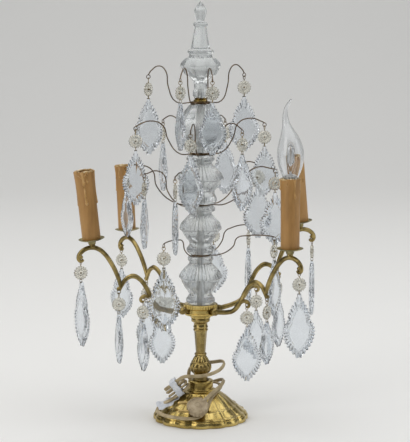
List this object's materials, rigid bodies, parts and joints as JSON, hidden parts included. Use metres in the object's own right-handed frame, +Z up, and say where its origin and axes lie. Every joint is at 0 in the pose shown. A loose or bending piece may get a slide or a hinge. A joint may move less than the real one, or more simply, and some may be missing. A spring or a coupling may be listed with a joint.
{
  "type": "electric candle girandole",
  "caption": "Table girandole: a cast brass foot and shaft, a column of pressed glass vases, candle-style lamp arms, and sprays of wire hung with swinging leaf-shaped glass drops.",
  "frame": {"origin": "on the floor, on the axis of the foot and column, at the foot's underside", "axes": "+Z up along the column, -Y the front that the picture shows, +X to the right seen from the front"},
  "size_m": [0.3302, 0.2725, 0.57],
  "materials": {
    "brass": "polished cast brass with dark patina in the hollows",
    "arm_brass": "aged cast brass",
    "dull_brass": "tarnished spun brass",
    "bronze_wire": "dark bronzed wire",
    "column_glass": "clear pressed glass, ribbed",
    "drop_glass": "clear cut glass with bright chipped edges",
    "wax": "ochre wax-coated card",
    "holder_plastic": "dark moulded plastic",
    "bulb_glass": "thin clear glass",
    "bulb_cap": "plain metal cap",
    "cord": "tan twin flex",
    "paper": "white blank paper",
    "felt": "dark felt, guessed",
    "plug_plastic": "tan moulded plastic with worn brass pins"
  },
  "bodies": {
    "stand": {"arm_front_left": "arm_brass", "arm_front_right": "arm_brass", "arm_hub": "brass", "arm_rear_left": "arm_brass", "arm_rear_right": "arm_brass", "candle_front_right": "wax", "cord_hank": "cord", "cord_run": "cord", "cord_tie": "paper", "drip_pans": "dull_brass", "foot": "brass", "foot_pad": "felt", "glass_globe": "column_glass", "glass_spire": "column_glass", "glass_vases": "column_glass", "lampholders": "holder_plastic", "lower_spray": "bronze_wire", "middle_spray": "bronze_wire", "plug": "plug_plastic", "shaft": "brass", "spire_collar": "brass", "tie_rod": "brass", "top_spray": "bronze_wire", "upper_spray": "bronze_wire"},
    "drop_top_left_body": {"drop_top_left": "drop_glass"},
    "drop_top_front_left_body": {"drop_top_front_left": "drop_glass"},
    "drop_top_front_right_body": {"drop_top_front_right": "drop_glass"},
    "drop_top_right_body": {"drop_top_right": "drop_glass"},
    "drop_upper_left_body": {"drop_upper_left": "drop_glass"},
    "drop_upper_rear_left_body": {"drop_upper_rear_left": "drop_glass"},
    "drop_upper_front_left_body": {"drop_upper_front_left": "drop_glass"},
    "drop_upper_front_right_body": {"drop_upper_front_right": "drop_glass"},
    "drop_upper_right_body": {"drop_upper_right": "drop_glass"},
    "drop_upper_rear_right_body": {"drop_upper_rear_right": "drop_glass"},
    "drop_middle_left_body": {"drop_middle_left": "drop_glass"},
    "drop_middle_far_left_body": {"drop_middle_far_left": "drop_glass"},
    "drop_middle_front_left_body": {"drop_middle_front_left": "drop_glass"},
    "drop_middle_right_body": {"drop_middle_right": "drop_glass"},
    "drop_middle_rear_right_body": {"drop_middle_rear_right": "drop_glass"},
    "drop_lower_front_left_body": {"drop_lower_front_left": "drop_glass"},
    "drop_lower_right_body": {"drop_lower_right": "drop_glass"},
    "drop_lower_rear_right_body": {"drop_lower_rear_right": "drop_glass"},
    "drop_lower_rear_body": {"drop_lower_rear": "drop_glass"},
    "drop_front_left_end_body": {"drop_front_left_end": "drop_glass"},
    "drop_front_left_tip_body": {"drop_front_left_tip": "drop_glass"},
    "drop_front_left_scroll_body": {"drop_front_left_scroll": "drop_glass"},
    "drop_front_right_end_body": {"drop_front_right_end": "drop_glass"},
    "drop_front_right_tip_body": {"drop_front_right_tip": "drop_glass"},
    "drop_front_right_scroll_body": {"drop_front_right_scroll": "drop_glass"},
    "drop_rear_right_end_body": {"drop_rear_right_end": "drop_glass"},
    "drop_rear_right_tip_body": {"drop_rear_right_tip": "drop_glass"},
    "drop_rear_right_scroll_body": {"drop_rear_right_scroll": "drop_glass"},
    "drop_rear_left_end_body": {"drop_rear_left_end": "drop_glass"},
    "drop_rear_left_tip_body": {"drop_rear_left_tip": "drop_glass"},
    "drop_rear_left_scroll_body": {"drop_rear_left_scroll": "drop_glass"},
    "bulb": {"bulb_glass": "bulb_glass", "bulb_cap": "bulb_cap"},
    "candle_front_left_sleeve": {"candle_front_left": "wax"},
    "candle_rear_right_sleeve": {"candle_rear_right": "wax"},
    "candle_rear_left_sleeve": {"candle_rear_left": "wax"}
  },
  "joints": [
    {"name": "drop_top_left_swing", "type": "hinge", "parent": "stand", "child": "drop_top_left_body", "pos_m": [-0.07, 0, 0.467], "axis": [-1, 0, 0], "range_deg": [-12, 7]},
    {"name": "drop_top_front_left_swing", "type": "hinge", "parent": "stand", "child": "drop_top_front_left_body", "pos_m": [-0.02622, -0.0649, 0.467], "axis": [-0.3746, -0.9272, 0], "range_deg": [-12, 7]},
    {"name": "drop_top_front_right_swing", "type": "hinge", "parent": "stand", "child": "drop_top_front_right_body", "pos_m": [0.01575, -0.06821, 0.467], "axis": [0.225, -0.9744, 0], "range_deg": [-7, 12]},
    {"name": "drop_top_right_swing", "type": "hinge", "parent": "stand", "child": "drop_top_right_body", "pos_m": [0.05936, 0.03709, 0.467], "axis": [0.848, 0.5299, 0], "range_deg": [-6, 12]},
    {"name": "drop_upper_left_swing", "type": "hinge", "parent": "stand", "child": "drop_upper_left_body", "pos_m": [-0.08655, -0.02812, 0.4], "axis": [-0.9511, -0.309, 0], "range_deg": [-12, 12]},
    {"name": "drop_upper_rear_left_swing", "type": "hinge", "parent": "stand", "child": "drop_upper_rear_left_body", "pos_m": [-0.05219, 0.07454, 0.4], "axis": [-0.5736, 0.8192, 0], "range_deg": [-12, 12]},
    {"name": "drop_upper_front_left_swing", "type": "hinge", "parent": "stand", "child": "drop_upper_front_left_body", "pos_m": [-0.01266, -0.09011, 0.4], "axis": [-0.1392, -0.9903, 0], "range_deg": [-3, 12]},
    {"name": "drop_upper_front_right_swing", "type": "hinge", "parent": "stand", "child": "drop_upper_front_right_body", "pos_m": [0.05477, -0.07268, 0.4], "axis": [0.6018, -0.7986, 0], "range_deg": [-12, 12]},
    {"name": "drop_upper_right_swing", "type": "hinge", "parent": "stand", "child": "drop_upper_right_body", "pos_m": [0.08702, 0.02661, 0.4], "axis": [0.9563, 0.2924, 0], "range_deg": [-12, 12]},
    {"name": "drop_upper_rear_right_swing", "type": "hinge", "parent": "stand", "child": "drop_upper_rear_right_body", "pos_m": [0.03409, 0.08437, 0.4], "axis": [0.3746, 0.9272, 0], "range_deg": [-12, 12]},
    {"name": "drop_middle_left_swing", "type": "hinge", "parent": "stand", "child": "drop_middle_left_body", "pos_m": [-0.07387, -0.06888, 0.341], "axis": [-0.7314, -0.682, 0], "range_deg": [-12, 12]},
    {"name": "drop_middle_far_left_swing", "type": "hinge", "parent": "stand", "child": "drop_middle_far_left_body", "pos_m": [-0.10025, 0.01231, 0.341], "axis": [-0.9925, 0.1219, 0], "range_deg": [-12, 12]},
    {"name": "drop_middle_front_left_swing", "type": "hinge", "parent": "stand", "child": "drop_middle_front_left_body", "pos_m": [-0.03288, -0.0955, 0.341], "axis": [-0.3256, -0.9455, 0], "range_deg": [-2, 12]},
    {"name": "drop_middle_right_swing", "type": "hinge", "parent": "stand", "child": "drop_middle_right_body", "pos_m": [0.10045, -0.01056, 0.341], "axis": [0.9945, -0.1045, 0], "range_deg": [-6, 12]},
    {"name": "drop_middle_rear_right_swing", "type": "hinge", "parent": "stand", "child": "drop_middle_rear_right_body", "pos_m": [0.07959, 0.06218, 0.341], "axis": [0.788, 0.6157, 0], "range_deg": [-12, 2]},
    {"name": "drop_lower_front_left_swing", "type": "hinge", "parent": "stand", "child": "drop_lower_front_left_body", "pos_m": [-0.04802, -0.09225, 0.252], "axis": [-0.4617, -0.887, 0], "range_deg": [-12, 8]},
    {"name": "drop_lower_right_swing", "type": "hinge", "parent": "stand", "child": "drop_lower_right_body", "pos_m": [0.09891, -0.03214, 0.252], "axis": [0.9511, -0.309, 0], "range_deg": [-12, 12]},
    {"name": "drop_lower_rear_right_swing", "type": "hinge", "parent": "stand", "child": "drop_lower_rear_right_body", "pos_m": [0.06685, 0.07967, 0.252], "axis": [0.6428, 0.766, 0], "range_deg": [-12, 12]},
    {"name": "drop_lower_rear_swing", "type": "hinge", "parent": "stand", "child": "drop_lower_rear_body", "pos_m": [0.01806, 0.10242, 0.252], "axis": [0.1736, 0.9848, 0], "range_deg": [-12, 12]},
    {"name": "drop_front_left_end_swing", "type": "hinge", "parent": "stand", "child": "drop_front_left_end_body", "pos_m": [-0.15893, -0.06292, 0.22805], "axis": [-0.9298, -0.3681, 0], "range_deg": [-12, 12]},
    {"name": "drop_front_left_tip_swing", "type": "hinge", "parent": "stand", "child": "drop_front_left_tip_body", "pos_m": [-0.10955, -0.04337, 0.18179], "axis": [-0.9298, -0.3681, 0], "range_deg": [-12, 12]},
    {"name": "drop_front_left_scroll_swing", "type": "hinge", "parent": "stand", "child": "drop_front_left_scroll_body", "pos_m": [-0.0775, -0.03069, 0.16833], "axis": [-0.9298, -0.3681, 0], "range_deg": [-12, 12]},
    {"name": "drop_front_right_end_swing", "type": "hinge", "parent": "stand", "child": "drop_front_right_end_body", "pos_m": [0.12849, -0.11733, 0.222], "axis": [0.7385, -0.6743, 0], "range_deg": [-12, 12]},
    {"name": "drop_front_right_tip_swing", "type": "hinge", "parent": "stand", "child": "drop_front_right_tip_body", "pos_m": [0.08788, -0.08024, 0.178], "axis": [0.7385, -0.6743, 0], "range_deg": [-12, 12]},
    {"name": "drop_front_right_scroll_swing", "type": "hinge", "parent": "stand", "child": "drop_front_right_scroll_body", "pos_m": [0.06203, -0.05664, 0.166], "axis": [0.7385, -0.6743, 0], "range_deg": [-12, 12]},
    {"name": "drop_rear_right_end_swing", "type": "hinge", "parent": "stand", "child": "drop_rear_right_end_body", "pos_m": [0.15484, 0.05944, 0.23688], "axis": [0.9336, 0.3584, 0], "range_deg": [-12, 12]},
    {"name": "drop_rear_right_tip_swing", "type": "hinge", "parent": "stand", "child": "drop_rear_right_tip_body", "pos_m": [0.10807, 0.04148, 0.18737], "axis": [0.9336, 0.3584, 0], "range_deg": [-12, 12]},
    {"name": "drop_rear_right_scroll_swing", "type": "hinge", "parent": "stand", "child": "drop_rear_right_scroll_body", "pos_m": [0.07674, 0.02946, 0.17178], "axis": [0.9336, 0.3584, 0], "range_deg": [-12, 12]},
    {"name": "drop_rear_left_end_swing", "type": "hinge", "parent": "stand", "child": "drop_rear_left_end_body", "pos_m": [-0.11381, 0.13757, 0.21164], "axis": [-0.6374, 0.7705, 0], "range_deg": [-12, 12]},
    {"name": "drop_rear_left_tip_swing", "type": "hinge", "parent": "stand", "child": "drop_rear_left_tip_body", "pos_m": [-0.07688, 0.09293, 0.17159], "axis": [-0.6374, 0.7705, 0], "range_deg": [-12, 12]},
    {"name": "drop_rear_left_scroll_swing", "type": "hinge", "parent": "stand", "child": "drop_rear_left_scroll_body", "pos_m": [-0.05409, 0.06538, 0.16206], "axis": [-0.6374, 0.7705, 0], "range_deg": [-12, 12]},
    {"name": "bulb_out", "type": "slide", "parent": "stand", "child": "bulb", "axis": [0, 0, 1], "range_m": [0, 0.024]},
    {"name": "candle_front_left_lift", "type": "slide", "parent": "stand", "child": "candle_front_left_sleeve", "axis": [-0.1036, -0.041, 0.9938], "range_m": [0, 0.1]},
    {"name": "candle_rear_right_lift", "type": "slide", "parent": "stand", "child": "candle_rear_right_sleeve", "axis": [-0.0895, -0.0343, 0.9954], "range_m": [0, 0.1]},
    {"name": "candle_rear_left_lift", "type": "slide", "parent": "stand", "child": "candle_rear_left_sleeve", "axis": [-0.0445, 0.0537, 0.9976], "range_m": [0, 0.1]}
  ]
}
